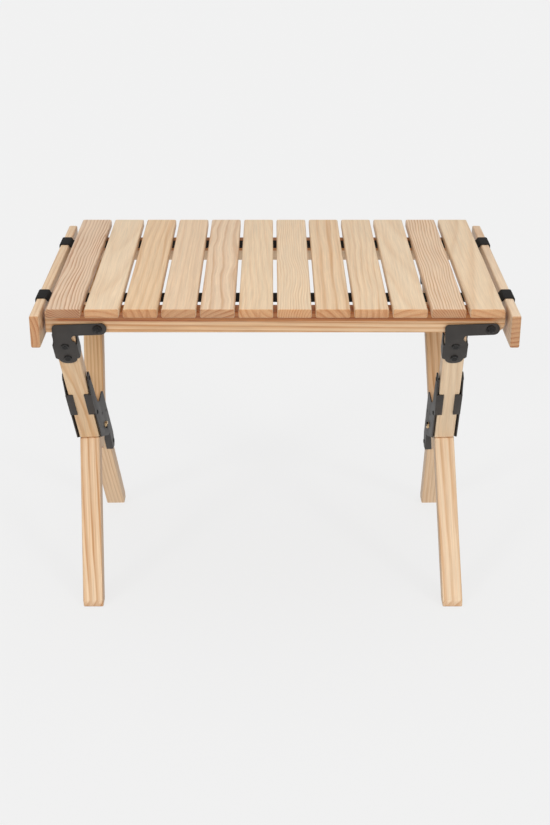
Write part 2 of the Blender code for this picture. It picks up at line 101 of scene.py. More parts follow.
# Round fasteners: radius and rise of the head, radius of the shank, and the length, which a rivet takes
# from its node
BRACKET_SCREW = (5.2 * MM, 2.0 * MM, 2.1 * MM, 17.4 * MM)
PIN_CAP = (4.5 * MM, 0.7 * MM, 2.0 * MM, 3.0 * MM)
RIVET = (6.0 * MM, 2.4 * MM, 2.6 * MM)
# The closed end of a rivet in millimetres: radius, and height over the end
RIVET_END = ((4.4, 1.2), (4.8, 0.9), (4.5, 0.1), (4.2, 0.0), (0.0, 0.0))

# Where small pieces sit on a centre plate, in millimetres across and along the split leg from the crossing
PLATE_SCREW_PLACES = ((-26.3, 157.0), (-29.0, 76.0), (26.3, -86.0))
DIMPLE_PLACES = ((-2.2, 33.0), (24.5, 1.5))
# The plates' small screws: rise of the head, radius of the shank, and length
PLATE_SCREW = (1.2 * MM, 1.6 * MM, 13.0 * MM)
# A dimple: its rise, how wide it is under the surface as a share of its radius, and its depth
DIMPLE_RISE = 0.35 * MM
DIMPLE_SHANK = 0.9
DIMPLE_LENGTH = 1.2 * MM
# How far the tops of pin caps, plate screws and dimples stand out of what they sit on
CAP_PROUD = 0.5 * MM
PLATE_SCREW_PROUD = 1.15 * MM
DIMPLE_PROUD = 0.3 * MM
# Turning steps of the small round pieces
SMALL_STEPS = 24

# Radii of the edges of washers and pins, and of the webbing's long edges as a share of its thickness
WASHER_ROUND = 0.15 * MM
PIN_ROUND = 0.25 * MM
WEBBING_ROUND = 0.3

# The webbing bends between two slats in this many steps, and starts its bend to an end slat this far
# before the upright strap there
GAP_STEPS = 6
STRAP_BEND = 2.4 * MM
# Points of the webbing over an end slat. It leaves the level at the strap's near side and climbs past the
# end slat's inner face: millimetres outwards, and share of the whole rise. Over the slat's top it turns
# down: millimetres outwards and upwards from the outer corner.
WEBBING_LEAVES = ((-0.8, 0.08), (0.5, 0.30))
WEBBING_CLIMBS = ((-0.9, 0.64), (0.1, 0.90), (1.6, 1.0))
WEBBING_TURNS = ((-2.0, 0.0), (-1.0, -0.25), (-0.3, -0.9), (0.0, -2.0), (0.0, -8.0))

# Staples: length of the legs, cut corner of the crown, how far the crown stands off the webbing as a
# share of the wire, and height over the lower end of an upright strap
STAPLE_LEG = 5.0 * MM
STAPLE_CORNER = 0.5 * MM
STAPLE_OFF = 0.45
STAPLE_HEIGHT = 12.0 * MM

# The photograph's view, solved from the table's edges: a frame of 550 by 825 pixels
PHOTO_LONG_SIDE = 825
PHOTO_FOCAL = 1387.4
PHOTO_AXIS = (272.5, 398.6)
PHOTO_MIDDLE = (275.0, 412.5)
SENSOR = 36.0
CAMERA_PLACE = (-0.0035, -1.895, 1.106)
CAMERA_PITCH = math.radians(24.25)

# How the growth rings of one board run. Pith is where the middle of the tree lay, in millimetres across
# and above the board's middle; tip and yaw are the slope of the grain in degrees; ring is the ring width
# in millimetres; depth is how strongly the rings show; pink and gold are how far the tone leans to red
# heartwood and to resin; streak is the share of golden streaks; wander and wave bend the rings, wave in
# millimetres sideways.
Grain = namedtuple("Grain", "across above tip yaw ring depth pink gold streak wander wave")
SLAT_GRAIN = {
    1: Grain(-46, -50, 0.4, 0.5, 2.9, 1.05, 0.70, 0.00, 0.0, 5.5, 6.0),
    2: Grain(16, -34, 2.0, -1.6, 8.0, 0.22, 0.05, 0.05, 0.2, 3.0, 4.0),
    3: Grain(-52, -30, 0.6, -1.5, 9.0, 0.36, 0.15, 0.60, 1.0, 2.0, 2.0),
    4: Grain(62, -34, 0.4, -1.0, 8.0, 0.26, 0.35, 0.25, 0.4, 2.5, 2.0),
    5: Grain(60, -34, 0.6, -0.6, 6.5, 0.55, 0.40, 0.10, 0.3, 1.2, 8.0),
    6: Grain(-12, -44, -1.6, 1.0, 8.0, 0.26, 0.00, 0.20, 0.6, 4.0, 3.0),
    7: Grain(90, -34, 0.3, 0.3, 3.4, 0.46, 0.00, 0.00, 0.1, 1.0, 7.0),
    8: Grain(-64, -22, 0.3, 0.4, 9.5, 0.50, 0.10, 0.40, 0.9, 1.5, 2.0),
    9: Grain(-44, -40, -0.6, -1.6, 8.5, 0.38, 0.05, 0.20, 0.6, 3.0, 3.0),
    10: Grain(4, -26, 2.4, 0.6, 8.0, 0.28, 0.00, 0.05, 0.2, 3.0, 3.0),
    11: Grain(-58, -60, 0.4, -0.5, 2.7, 0.85, 0.42, 0.00, 0.0, 5.0, 5.0),
    12: Grain(10, -24, 2.0, -0.8, 7.5, 0.36, 0.00, 0.10, 0.4, 3.0, 2.4),
}
END_SLAT_GRAIN = {
    "left": Grain(-60, -20, 0.5, 0.8, 5.5, 0.50, 0.25, 0.30, 0.4, 3.0, 2.0),
    "right": Grain(50, -40, -0.6, 0.8, 6.0, 0.50, 0.40, 0.00, 0.2, 3.0, 2.0),
}
RAIL_GRAIN = {
    "front": Grain(-24, -60, 0.35, 0.3, 6.5, 1.05, 0.25, 0.75, 0.7, 1.6, 1.6),
    "rear": Grain(40, -52, -0.4, 0.4, 6.0, 0.35, 0.25, 0.45, 0.2, 1.6, 1.6),
}
LEG_GRAIN = {
    "left_leg_a_upper": Grain(-9, -20, 1.9, 0.7, 5.5, 0.66, 0.00, 0.62, 0.4, 3.2, 8.0),
    "left_leg_a_lower": Grain(46, -30, -0.6, 0.8, 5.2, 0.45, 0.35, 0.55, 0.3, 2.0, 1.6),
    "left_leg_b_upper": Grain(52, 16, 0.7, 0.9, 5.0, 0.95, 0.00, 0.95, 0.8, 2.0, 1.6),
    "left_leg_b_lower": Grain(-46, -40, 0.8, 1.0, 6.2, 0.95, 0.25, 0.30, 0.7, 1.8, 1.6),
    "left_leg_b_core": Grain(40, 30, 0.5, 0.6, 4.5, 0.50, 0.10, 0.50, 0.4, 2.0, 1.6),
    "right_leg_a_upper": Grain(40, -44, 0.8, 1.5, 9.0, 0.22, 0.10, 0.15, 0.3, 2.5, 3.0),
    "right_leg_a_lower": Grain(46, -30, -0.6, 0.8, 5.2, 0.45, 0.35, 0.55, 0.3, 2.0, 1.6),
    "right_leg_b_upper": Grain(10, 24, 1.4, 1.0, 6.5, 0.90, 0.30, 0.80, 0.6, 2.4, 4.0),
    "right_leg_b_lower": Grain(-50, -34, 0.5, 0.6, 6.0, 0.70, 0.18, 0.10, 0.6, 1.8, 1.6),
    "right_leg_b_core": Grain(40, 30, 0.5, 0.6, 4.5, 0.50, 0.10, 0.50, 0.4, 2.0, 1.6),
}
# Each board's figure has its own seed, counted from here, and starts this far along from the last one's
SLAT_SEED = 1
RAIL_SEED = 20
LEG_SEED = 30
SEED_STEP = 0.37
# A bend in the rings is this many times longer than wide
GRAIN_STRETCH = 14.0
# How dark a growth ring is on the way out from the pith: the last summer wood, spring wood, summer wood
RING_TONES = ((0.0, 0.80), (0.14, 0.10), (0.40, 0.04), (0.72, 0.42), (0.96, 1.0))
# The finer rings inside each growth ring: how many there are, how much more they bend, how dark they are
FINE_RINGS = 2.7
FINE_WANDER = 1.4
FINE_DEPTH = 0.20
# Rings show this much on any cut end, and more by this share of their depth on the faces
END_RINGS = 0.5
END_RINGS_SHARE = 0.7
# How much darker the cut end of a board of pure red heartwood is
HEART_END_DARKER = 0.3
# How golden the strongest streak is
STREAK_GOLD = 0.55
# A noise texture mostly keeps to the middle half of its range, so it is given twice the wanted reach
NOISE_REACH = 2
# Noise in the pine: how many patches lie side by side in a metre, how they are squeezed across, along and
# up the board, so that a small middle number makes them long, and the noise's detail and roughness.
# A fibre is 1.4 mm wide, coarser than real ones, which would not show. A streak is 5 mm wide, a cloud of
# tone 22 mm, and a sway of the rings 65 mm.
Pattern = namedtuple("Pattern", "per_metre squeeze detail roughness")
FIBRE = Pattern(720.0, (1, 0.022, 1), 4.0, 0.7)
STREAK = Pattern(210.0, (1, 0.012, 0.3), 1.5, 0.5)
CLOUD = Pattern(45.0, (1, 0.16, 1), 3.0, 0.5)
SWAY = Pattern(22.0, (0.7, 0.25, 1), 3.0, 0.38)
# Painted shade on a rail where the slats keep light off its upper half: where it starts and where it is
# full, up and out from the middle of the rail
PAINTED_SHADE_UP = (0.4 * MM, 2.4 * MM)
PAINTED_SHADE_OUT = (302 * MM, 286 * MM)

# Patterns of the other finishes: width of the orange peel and of the drawing marks, and smudges in a metre
PEEL = 0.6 * MM
DRAWING_MARK = 0.5 * MM
SMUDGES_PER_METRE = 60.0
# Roughness of the fasteners' coat and of bare metal, and how far roughness strays on coats and on metal
FASTENER_ROUGHNESS = 0.42
METAL_ROUGHNESS = 0.35
COAT_STRAY = 0.07
METAL_STRAY = 0.08
# The plates' small screws and dimples have this share of the other fasteners' brightness; on the dimples,
# dents in the coated plate, this near-black is painted shade
SMALL_SCREW_SHADE = 0.6
# From dark to light on coats, on bare metal and on webbing: place on the ramp, and share of the colour
COAT_SHADES = ((0.3, 0.86), (0.7, 1.16))
METAL_SHADES = ((0.3, 0.75), (0.7, 1.0))
WEBBING_SHADES = ((0.0, 0.45), (0.8, 1.0))
# A wave texture of scale 1 has this many waves in a metre
WAVES_PER_METRE = 3.1831

# Sockets of a Mix node that mixes colours
MIX_FIRST = 6
MIX_SECOND = 7
MIX_RESULT = 2

# The studio. A light has its name, its tilt and turn in degrees, its strength, and how many degrees of
# the sky it fills.
WHITE = (1, 1, 1, 1)
BLACK = (0, 0, 0, 1)
FLOOR_SIDE = 60
FLOOR_COLOUR = "616161"
FLOOR_GLOW = 0.76
DOME_RADIUS = 29
BACKDROP_COLOUR = "F0F0F0"
SKY_STRENGTH = 0.32
LIGHTS = (
    ("left_key", 66.5, -38, 0.76, 12),
    ("right_key", 66.5, 38, 0.76, 12),
    ("overhead", 10, 0, 1.38, 90),
    ("bounce", 114, 0, 0.95, 50),
    ("behind", -50, 0, 0.35, 60),
)


def srgb(hex_text):
    """Linear RGBA of an sRGB hex colour."""
    parts = [int(hex_text[i:i + 2], 16) / 255 for i in (0, 2, 4)]
    return tuple(p / 12.92 if p <= 0.04045 else ((p + 0.055) / 1.055) ** 2.4 for p in parts) + (1.0,)


def shaded(colour, share):
    """A colour made darker or lighter by a share."""
    return tuple(share * value for value in colour[:3]) + (1.0,)


def colour_setting(name, description, hex_text):
    """A colour that a user would change."""
    return bpy.props.FloatVectorProperty(
        name=name,
        description=description,
        default=srgb(hex_text),
        size=4,
        min=0,
        max=1,
        subtype="COLOR",
    )


def length_setting(name, description, default):
    """A size that a user would change, in metres."""
    return bpy.props.FloatProperty(
        name=name,
        description=description,
        default=default,
        min=0,
        precision=5,
        subtype="DISTANCE",
        unit="LENGTH",
    )


class CampTableColours(bpy.types.PropertyGroup):
    """Colours of the finishes."""

    pine_early: colour_setting("Pine, early wood", "Pale spring growth of clear-lacquered pine", "EBD2B1")
    pine_late: colour_setting("Pine, late wood", "Darker summer growth of the same pine", "CB965F")
    resin_early: colour_setting("Resinous, early", "Golden spring growth that holds more resin", "E6C193")
    resin_late: colour_setting("Resinous, late", "Amber summer growth and streaks", "C48A4E")
    heart_early: colour_setting("Heartwood, early", "Pinkish spring growth near the pith", "E8CBAE")
    heart_late: colour_setting("Heartwood, late", "Reddish summer growth near the pith", "AE7A5A")
    end_tint: colour_setting("End grain tint", "The face colour of cut ends is multiplied by it", "E3C4A6")
    # Painted shade: the rails' colour is multiplied by this where the slats lie over them
    slat_shade_tint: colour_setting("Painted shade under slats", "Painted shade multiplied into the rails where slats lie on them", "DDAA6E")
    coating: colour_setting("Coated steel", "Dark warm grey powder coat", "34302D")
    fastener: colour_setting("Fasteners", "Blackened rivets and screws", "1A1817")
    webbing: colour_setting("Webbing", "Black polypropylene yarn", "2B2928")
    staple: colour_setting("Staples", "Zinc-coated wire", "B9BBBD")
    brass: colour_setting("Centre pins", "Drawn brass bar", "E2C296")


class CampTableSizes(bpy.types.PropertyGroup):
    """Sizes of the fine pieces and edges."""

    slat_round: length_setting("Slat edge", "Radius of the sanded edges of the slats", 1.2 * MM)
    slat_corner: length_setting("Slat corner", "Radius of a slat's corners seen from above", 2.4 * MM)
    board_round: length_setting("Board edge", "How far the edges of the legs are softened", 0.45 * MM)
    steel_round: length_setting("Steel edge", "Radius of the tumbled edges of the steel parts", 0.55 * MM)
    strap_thick: length_setting("Strap thickness", "Thickness of the webbing", 1.3 * MM)
    plate_screw: length_setting("Plate screw", "Head radius of the plates' small screws", 3.4 * MM)
    dimple: length_setting("Dimple", "Radius of the pressed dents in the centre plates", 2.7 * MM)
    rib_pitch: length_setting("Webbing rib", "From one slanting rib to the next along the strap", 3.0 * MM)
    warp_pitch: length_setting("Webbing warp", "From one lengthwise yarn to the next", 1.25 * MM)
    staple_width: length_setting("Staple width", "Width of a staple's crown", 10 * MM)
    staple_wire: length_setting("Staple wire", "Thickness of the staple wire", 1.1 * MM)


def add(tree, kind, inputs=None, stops=None, **settings):
    """Add a shader node with its settings, and link or set its inputs. stops are a colour ramp's."""
    made = tree.nodes.new("ShaderNode" + kind)
    for key, value in settings.items():
        setattr(made, key, value)
    for key, value in (inputs or {}).items():
        if isinstance(value, bpy.types.NodeSocket):
            tree.links.new(value, made.inputs[key])
        else:
            made.inputs[key].default_value = value
    if stops:
        elements = made.color_ramp.elements
        while len(elements) < len(stops):
            elements.new(1.0)
        for element, (position, value) in zip(elements, stops):
            element.position = position
            element.color = value
    return made


def grey(value):
    """A ramp's stop for a plain number."""
    return (value, value, value, 1.0)


def new_material(name, **values):
    """A material with a Principled shader whose uniform values are set on its own sockets."""
    material = bpy.data.materials.new(name)
    material.use_nodes = True
    shader = material.node_tree.nodes["Principled BSDF"]
    for socket, value in values.items():
        shader.inputs[socket.replace("_", " ")].default_value = value
    return material, material.node_tree, shader


def patches(tree, space, pattern, start):
    """The noise of one pattern in the wood, seen from its own starting place."""
    place = add(tree, "Mapping", {"Vector": space.outputs[0], "Location": start, "Scale": pattern.squeeze})
    noise = add(
        tree,
        "TexNoise",
        {
            "Vector": place.outputs[0],
            "Scale": pattern.per_metre,
            "Detail": pattern.detail,
            "Roughness": pattern.roughness,
        },
    )
    return noise.outputs["Fac"]


def growth_rings(tree, space, grain, seed):
    """How dark the rings round the pith are: the growth rings alone, and with the finer rings."""
    pith = (grain.across * MM, seed * SEED_STEP, grain.above * MM)
    slope = (math.radians(grain.tip), 0, math.radians(grain.yaw))
    trunk = add(
        tree,
        "Mapping",
        {"Vector": space.outputs[0], "Location": pith, "Rotation": slope, "Scale": (1, GRAIN_STRETCH, 1)},
        vector_type="TEXTURE",
    )
    ring_scale = 1 / (WAVES_PER_METRE * grain.ring * MM)
    rings = add(
        tree,
        "TexWave",
        {
            "Vector": trunk.outputs[0],
            "Scale": ring_scale,
            "Distortion": grain.wander,
            "Detail": 2.0,
            "Detail Scale": 0.5,
            "Detail Roughness": 0.45,
        },
        wave_type="RINGS",
        rings_direction="Y",
        wave_profile="SAW",
    )
    late = add(
        tree,
        "ValToRGB",
        {"Fac": rings.outputs["Fac"]},
        stops=[(position, grey(value)) for position, value in RING_TONES],
    )
    fine = add(
        tree,
        "TexWave",
        {
            "Vector": trunk.outputs[0],
            "Scale": ring_scale * FINE_RINGS,
            "Distortion": grain.wander * FINE_WANDER,
            "Detail": 1.0,
        },
        wave_type="RINGS",
        rings_direction="Y",
    )
    both = add(
        tree,
        "Math",
        {0: fine.outputs["Fac"], 1: FINE_DEPTH, 2: late.outputs["Color"]},
        operation="MULTIPLY_ADD",
    )
    return late.outputs["Color"], both.outputs[0]


def cut_ends(tree, place, turn):
    """1 on the cut ends of a board and 0 on its faces."""
    along = Euler(turn).to_matrix() @ Vector((0, 1, 0))
    facing = add(tree, "VectorMath", {0: place.outputs["Normal"], 1: along}, operation="DOT_PRODUCT")
    either = add(tree, "Math", {0: facing.outputs["Value"]}, operation="ABSOLUTE")
    cut = add(tree, "MapRange", {"Value": either.outputs[0], "From Min": 0.35, "From Max": 0.85})
    return cut.outputs[0]


def under_slats(tree, board, bare, tint):
    """The colour of a rail, darkened by painted shade on the part that the slats keep from the light."""
    height = add(tree, "SeparateXYZ", {"Vector": board.outputs[0]})
    upper = add(
        tree,
        "MapRange",
        {"Value": height.outputs["Z"], "From Min": PAINTED_SHADE_UP[0], "From Max": PAINTED_SHADE_UP[1]},
    )
    out = add(tree, "Math", {0: height.outputs["Y"]}, operation="ABSOLUTE")
    inboard = add(
        tree, "MapRange", {"Value": out.outputs[0], "From Min": PAINTED_SHADE_OUT[0], "From Max": PAINTED_SHADE_OUT[1]}
    )
    # Painted shade is full where the rail is both high and inboard
    painted_shade = add(tree, "Math", {0: upper.outputs[0], 1: inboard.outputs[0]}, operation="MULTIPLY")
    return add(
        tree,
        "Mix",
        {"Factor": painted_shade.outputs[0], MIX_FIRST: bare.outputs[MIX_RESULT], MIX_SECOND: tuple(tint)},
        data_type="RGBA",
        blend_type="MULTIPLY",
    )


def blend_tones(grain, plain, heart, resin):
    """The tone of one board between plain sapwood, red heartwood and resinous gold."""
    rest = 1 - grain.pink - grain.gold
    return tuple(p * rest + h * grain.pink + r * grain.gold for p, h, r in zip(plain, heart, resin))


def ringed_colour(tree, grain, rings, clouds, streaks, cut):
    """Late wood over early wood, patchy as it is in a plank, with golden streaks of resin over both."""
    colours = bpy.context.scene.camp_table_colours
    patchy = add(
        tree,
        "MapRange",
        {"Value": clouds, "From Min": 0.3, "From Max": 0.7, "To Min": 0.45, "To Max": 1.15},
    )
    end_depth = END_RINGS + END_RINGS_SHARE * grain.depth
    depth = add(tree, "MapRange", {"Value": cut, "To Min": grain.depth, "To Max": end_depth})
    strength = add(tree, "Math", {0: patchy.outputs[0], 1: depth.outputs[0]}, operation="MULTIPLY")
    summer = add(tree, "Math", {0: rings, 1: strength.outputs[0]}, operation="MULTIPLY", use_clamp=True)
    early = blend_tones(grain, colours.pine_early, colours.heart_early, colours.resin_early)
    dark = blend_tones(grain, colours.pine_late, colours.heart_late, colours.resin_late)
    ringed = add(
        tree,
        "Mix",
        {"Factor": summer.outputs[0], MIX_FIRST: early, MIX_SECOND: dark},
        data_type="RGBA",
    )
    gold = STREAK_GOLD * grain.streak
    resin = add(tree, "MapRange", {"Value": streaks, "From Min": 0.55, "From Max": 0.72, "To Max": gold})
    return add(
        tree,
        "Mix",
        {
            "Factor": resin.outputs[0],
            MIX_FIRST: ringed.outputs[MIX_RESULT],
            MIX_SECOND: tuple(colours.resin_late),
        },
        data_type="RGBA",
    )


def pine(name, grain, middle, turn, seed, painted_slat_shade=False):
    """Planed radiata pine under a clear matt lacquer.

    Rings of pale spring and darker summer growth run round the pith and come out as long arches and
    stripes on the faces and as arcs on the ends, which are darker because they soak up the lacquer.
    For the rails, the upper half lies under the slats, away from the light, and gets painted shade.
    """
    colours = bpy.context.scene.camp_table_colours
    material, tree, shader = new_material(name, IOR=1.5)
    place = add(tree, "TexCoord")
    board = add(
        tree,
        "Mapping",
        {"Vector": place.outputs["Object"], "Location": middle, "Rotation": turn},
        vector_type="TEXTURE",
    )
    sway = patches(tree, board, SWAY, (seed, seed, seed))
    wave = NOISE_REACH * grain.wave * MM
    side = add(tree, "MapRange", {"Value": sway, "To Min": -wave, "To Max": wave})
    shift = add(tree, "CombineXYZ", {"X": side.outputs[0]})
    swayed = add(tree, "VectorMath", {0: board.outputs[0], 1: shift.outputs[0]}, operation="ADD")
    late, rings = growth_rings(tree, swayed, grain, seed)
    fibres = patches(tree, swayed, FIBRE, (seed, seed, 0))
    clouds = patches(tree, swayed, CLOUD, (0, seed, seed))
    streaks = patches(tree, swayed, STREAK, (seed, 0, seed))
    cut = cut_ends(tree, place, turn)
    growth = ringed_colour(tree, grain, rings, clouds, streaks, cut)
    thread = add(
        tree,
        "MapRange",
        {"Value": fibres, "From Min": 0.28, "From Max": 0.72, "To Min": 0.83, "To Max": 1.08},
    )
    tone = add(
        tree,
        "MapRange",
        {"Value": clouds, "From Min": 0.3, "From Max": 0.7, "To Min": 0.97, "To Max": 1.03},
    )
    shade = add(tree, "Math", {0: thread.outputs[0], 1: tone.outputs[0]}, operation="MULTIPLY")
    fibrous = add(
        tree,
        "Mix",
        {"Factor": 1.0, MIX_FIRST: growth.outputs[MIX_RESULT], MIX_SECOND: shade.outputs[0]},
        data_type="RGBA",
        blend_type="MULTIPLY",
    )
    end_tint = shaded(colours.end_tint, 1 - HEART_END_DARKER * grain.pink)
    finished = add(
        tree,
        "Mix",
        {"Factor": cut, MIX_FIRST: fibrous.outputs[MIX_RESULT], MIX_SECOND: end_tint},
        data_type="RGBA",
        blend_type="MULTIPLY",
    )
    # Painted shade on the rails' upper half under the slats
    if painted_slat_shade:
        finished = under_slats(tree, board, finished, colours.slat_shade_tint)
    tree.links.new(finished.outputs[MIX_RESULT], shader.inputs["Base Color"])
    sheen = add(
        tree,
        "MapRange",
        {"Value": fibres, "From Min": 0.3, "From Max": 0.7, "To Min": 0.44, "To Max": 0.56},
    )
    tree.links.new(sheen.outputs[0], shader.inputs["Roughness"])
    relief = add(tree, "Math", {0: fibres, 1: late}, operation="ADD")
    bump = add(tree, "Bump", {"Height": relief.outputs[0], "Strength": 0.25, "Distance": 0.08 * MM})
    tree.links.new(bump.outputs[0], shader.inputs["Normal"])
    return material


def powder_coat(name, colour, roughness=0.55):
    """Powder-coated mild steel: a soft satin skin with a fine orange peel half a millimetre across."""
    material, tree, shader = new_material(name, IOR=1.4)
    place = add(tree, "TexCoord")
    peel = add(tree, "TexNoise", {"Vector": place.outputs["Object"], "Scale": 1 / PEEL, "Detail": 2.0})
    smudge = add(
        tree, "TexNoise", {"Vector": place.outputs["Object"], "Scale": SMUDGES_PER_METRE, "Detail": 3.0}
    )
    tone = add(
        tree,
        "ValToRGB",
        {"Fac": smudge.outputs["Fac"]},
        stops=[(position, shaded(colour, share)) for position, share in COAT_SHADES],
    )
    tree.links.new(tone.outputs["Color"], shader.inputs["Base Color"])
    shiny = roughness - COAT_STRAY
    dull = roughness + COAT_STRAY
    gloss = add(tree, "MapRange", {"Value": smudge.outputs["Fac"], "To Min": shiny, "To Max": dull})
    tree.links.new(gloss.outputs[0], shader.inputs["Roughness"])
    bump = add(tree, "Bump", {"Height": peel.outputs["Fac"], "Strength": 0.3, "Distance": 0.06 * MM})
    tree.links.new(bump.outputs[0], shader.inputs["Normal"])
    return material


def woven(name):
    """Black polypropylene webbing: ribs that slant across lengthwise yarns, dull with a faint sheen.

    The weave is drawn coarser than the real one, which would not show.
    """
    colours = bpy.context.scene.camp_table_colours
    sizes = bpy.context.scene.camp_table_sizes
    material, tree, shader = new_material(name, Roughness=0.85, Specular_IOR_Level=0.2)
    place = add(tree, "TexCoord")
    # Measured along the strap, slanting waves are twice as long as upright ones
    rib_scale = 2 / (WAVES_PER_METRE * sizes.rib_pitch)
    ribs = add(
        tree,
        "TexWave",
        {"Vector": place.outputs["Object"], "Scale": rib_scale, "Distortion": 0.4, "Detail": 1.0},
        bands_direction="DIAGONAL",
    )
    warp_scale = 1 / (WAVES_PER_METRE * sizes.warp_pitch)
    warp = add(
        tree, "TexWave", {"Vector": place.outputs["Object"], "Scale": warp_scale}, bands_direction="Y"
    )
    weave = add(tree, "Math", {0: ribs.outputs["Fac"], 1: warp.outputs["Fac"]}, operation="MULTIPLY")
    tone = add(
        tree,
        "ValToRGB",
        {"Fac": weave.outputs[0]},
        stops=[(position, shaded(colours.webbing, share)) for position, share in WEBBING_SHADES],
    )
    tree.links.new(tone.outputs["Color"], shader.inputs["Base Color"])
    bump = add(tree, "Bump", {"Height": weave.outputs[0], "Strength": 0.6, "Distance": 0.25 * MM})
    tree.links.new(bump.outputs[0], shader.inputs["Normal"])
    return material


def bare_metal(name, colour):
    """Drawn or zinc-coated metal with fine drawing marks and an uneven gloss."""
    material, tree, shader = new_material(name, Metallic=1.0)
    place = add(tree, "TexCoord")
    marks = add(
        tree, "TexNoise", {"Vector": place.outputs["Object"], "Scale": 1 / DRAWING_MARK, "Detail": 2.0}
    )
    tone = add(
        tree,
        "ValToRGB",
        {"Fac": marks.outputs["Fac"]},
        stops=[(position, shaded(colour, share)) for position, share in METAL_SHADES],
    )
    tree.links.new(tone.outputs["Color"], shader.inputs["Base Color"])
    shiny = METAL_ROUGHNESS - METAL_STRAY
    dull = METAL_ROUGHNESS + METAL_STRAY
    gloss = add(tree, "MapRange", {"Value": marks.outputs["Fac"], "To Min": shiny, "To Max": dull})
    tree.links.new(gloss.outputs[0], shader.inputs["Roughness"])
    return material


def glowing(name, colour, glow, strength):
    """A matt surface with a light of its own, for the floor and the backdrop."""
    return new_material(
        name,
        Base_Color=colour,
        Emission_Color=glow,
        Emission_Strength=strength,
        Roughness=1.0,
        Specular_IOR_Level=0.0,
    )[0]


def body_of_node(node):
    """The body that a node rides on."""
    for body, nodes in frame["record"]["behaviour"]["bodies"].items():
        if node in nodes:
            return body
    raise RuntimeError(f"{node} is on no body")


def deselect():
    """Leave edit mode and select nothing."""
    if bpy.context.object and bpy.context.object.mode != "OBJECT":
        bpy.ops.object.mode_set(mode="OBJECT")
    bpy.ops.object.select_all(action="DESELECT")


def pick(piece):
    """Make one piece the only selected and active object."""
    deselect()
    piece.select_set(True)
    bpy.context.view_layer.objects.active = piece


def settle(piece, name):
    """Put a piece's place into its mesh, so that its object sits at the origin."""
    pick(piece)
    bpy.ops.object.transform_apply(location=True, rotation=True, scale=True)
    piece.name = name
    piece.data.name = name
    return piece


def apply_modifiers(piece):
    """Apply a piece's modifiers in their order."""
    pick(piece)
    for modifier in list(piece.modifiers):
        bpy.ops.object.modifier_apply(modifier=modifier.name)


def round_edges(piece, width, segments, angle=20, smooth=30):
    """Bevel the sharp edges, apply it, and shade the rounds smooth."""
    bevel = piece.modifiers.new("edges", "BEVEL")
    bevel.width = width
    bevel.segments = segments
    bevel.limit_method = "ANGLE"
    bevel.angle_limit = math.radians(angle)
    apply_modifiers(piece)
    pick(piece)
    bpy.ops.object.shade_smooth_by_angle(angle=math.radians(smooth))


def round_corners(piece, radius):
    """Round the four upright corner edges of a board seen in plan."""
    pick(piece)
    for edge in piece.data.edges:
        a, b = (piece.data.vertices[i].co for i in edge.vertices)
        edge.select = abs(a.x - b.x) < MERGE and abs(a.y - b.y) < MERGE
    bpy.ops.object.mode_set(mode="EDIT")
    bpy.ops.mesh.select_mode(type="EDGE")
    bpy.ops.mesh.bevel(offset=radius, segments=4)
    bpy.ops.object.mode_set(mode="OBJECT")


def finish_piece(piece, material, node=None, body=None):
    """Give a piece its material, slot and body, and let it stand for its node."""
    piece.data.materials.clear()
    piece.data.materials.append(material)
    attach(piece, body or body_of_node(node))
    if node:
        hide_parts(node)
    return piece


def copy_of(node, name):
    """A merged copy of a CAD node's mesh, with its flat faces whole again."""
    piece = bpy.data.objects.new(name, frame["nodes"][node].data.copy())
    bpy.context.collection.objects.link(piece)
    pick(piece)
    bpy.ops.object.mode_set(mode="EDIT")
    bpy.ops.mesh.select_all(action="SELECT")
    bpy.ops.mesh.remove_doubles(threshold=MERGE)
    bpy.ops.mesh.dissolve_limited(angle_limit=FLAT)
    bpy.ops.object.mode_set(mode="OBJECT")
    return piece


def block(name, low, high):
    """A box between two corners."""
    deselect()
    middle = [(a + b) / 2 for a, b in zip(low, high)]
    size = [b - a for a, b in zip(low, high)]
    bpy.ops.mesh.primitive_cube_add(size=1, location=middle, scale=size)
    return settle(bpy.context.object, name)


def middle_of(node):
    """The middle of a node's box."""
    low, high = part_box(node)
    return (Vector(low) + Vector(high)) / 2


def reach(node, sign):
    """How near the table's middle a node comes along X and how far out it goes, on the sign's side."""
    low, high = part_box(node)
    return sorted((sign * low[0], sign * high[0]))


class CampTablePiece:
    """What every operator of this panel shares."""

    bl_options = {"REGISTER", "UNDO"}


class CAMPTABLE_OT_slats(CampTablePiece, bpy.types.Operator):
    """Make the twelve slats and the two end slats"""

    bl_idname = "camp_table.slats"
    bl_label = "Slats"

    def execute(self, context):
        edge = context.scene.camp_table_sizes.slat_round
        corner = context.scene.camp_table_sizes.slat_corner
        boards = [(f"slat_{number:02d}", SLAT_GRAIN[number], (0, 0, 0)) for number in range(1, SLATS + 1)]
        boards += [(f"end_slat_{side}", END_SLAT_GRAIN[side], (0, math.pi / 2, 0)) for side in SIDES]
        for seed, (node, grain, turn) in enumerate(boards, SLAT_SEED):
            slat = block(node + "_board", *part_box(node))
            round_corners(slat, corner)
            round_edges(slat, edge, 3)
            material = pine(node + "_pine", grain, middle_of(node), turn, seed)
            finish_piece(slat, material, node)
        return {"FINISHED"}


class CAMPTABLE_OT_rails(CampTablePiece, bpy.types.Operator):
    """Make the front and rear rails"""

    bl_idname = "camp_table.rails"
    bl_label = "Rails"

    def execute(self, context):
        turn = (0, 0, math.pi / 2)
        for seed, end in enumerate(ENDS, RAIL_SEED):
            node = end + "_rail"
            rail = copy_of(node, node + "_board")
            bpy.ops.object.shade_smooth_by_angle(angle=math.radians(30))
            # The rail's upper half gets painted shade under the slats
            material = pine(node + "_pine", RAIL_GRAIN[end], middle_of(node), turn, seed, painted_slat_shade=True)
            finish_piece(rail, material, node)
        return {"FINISHED"}


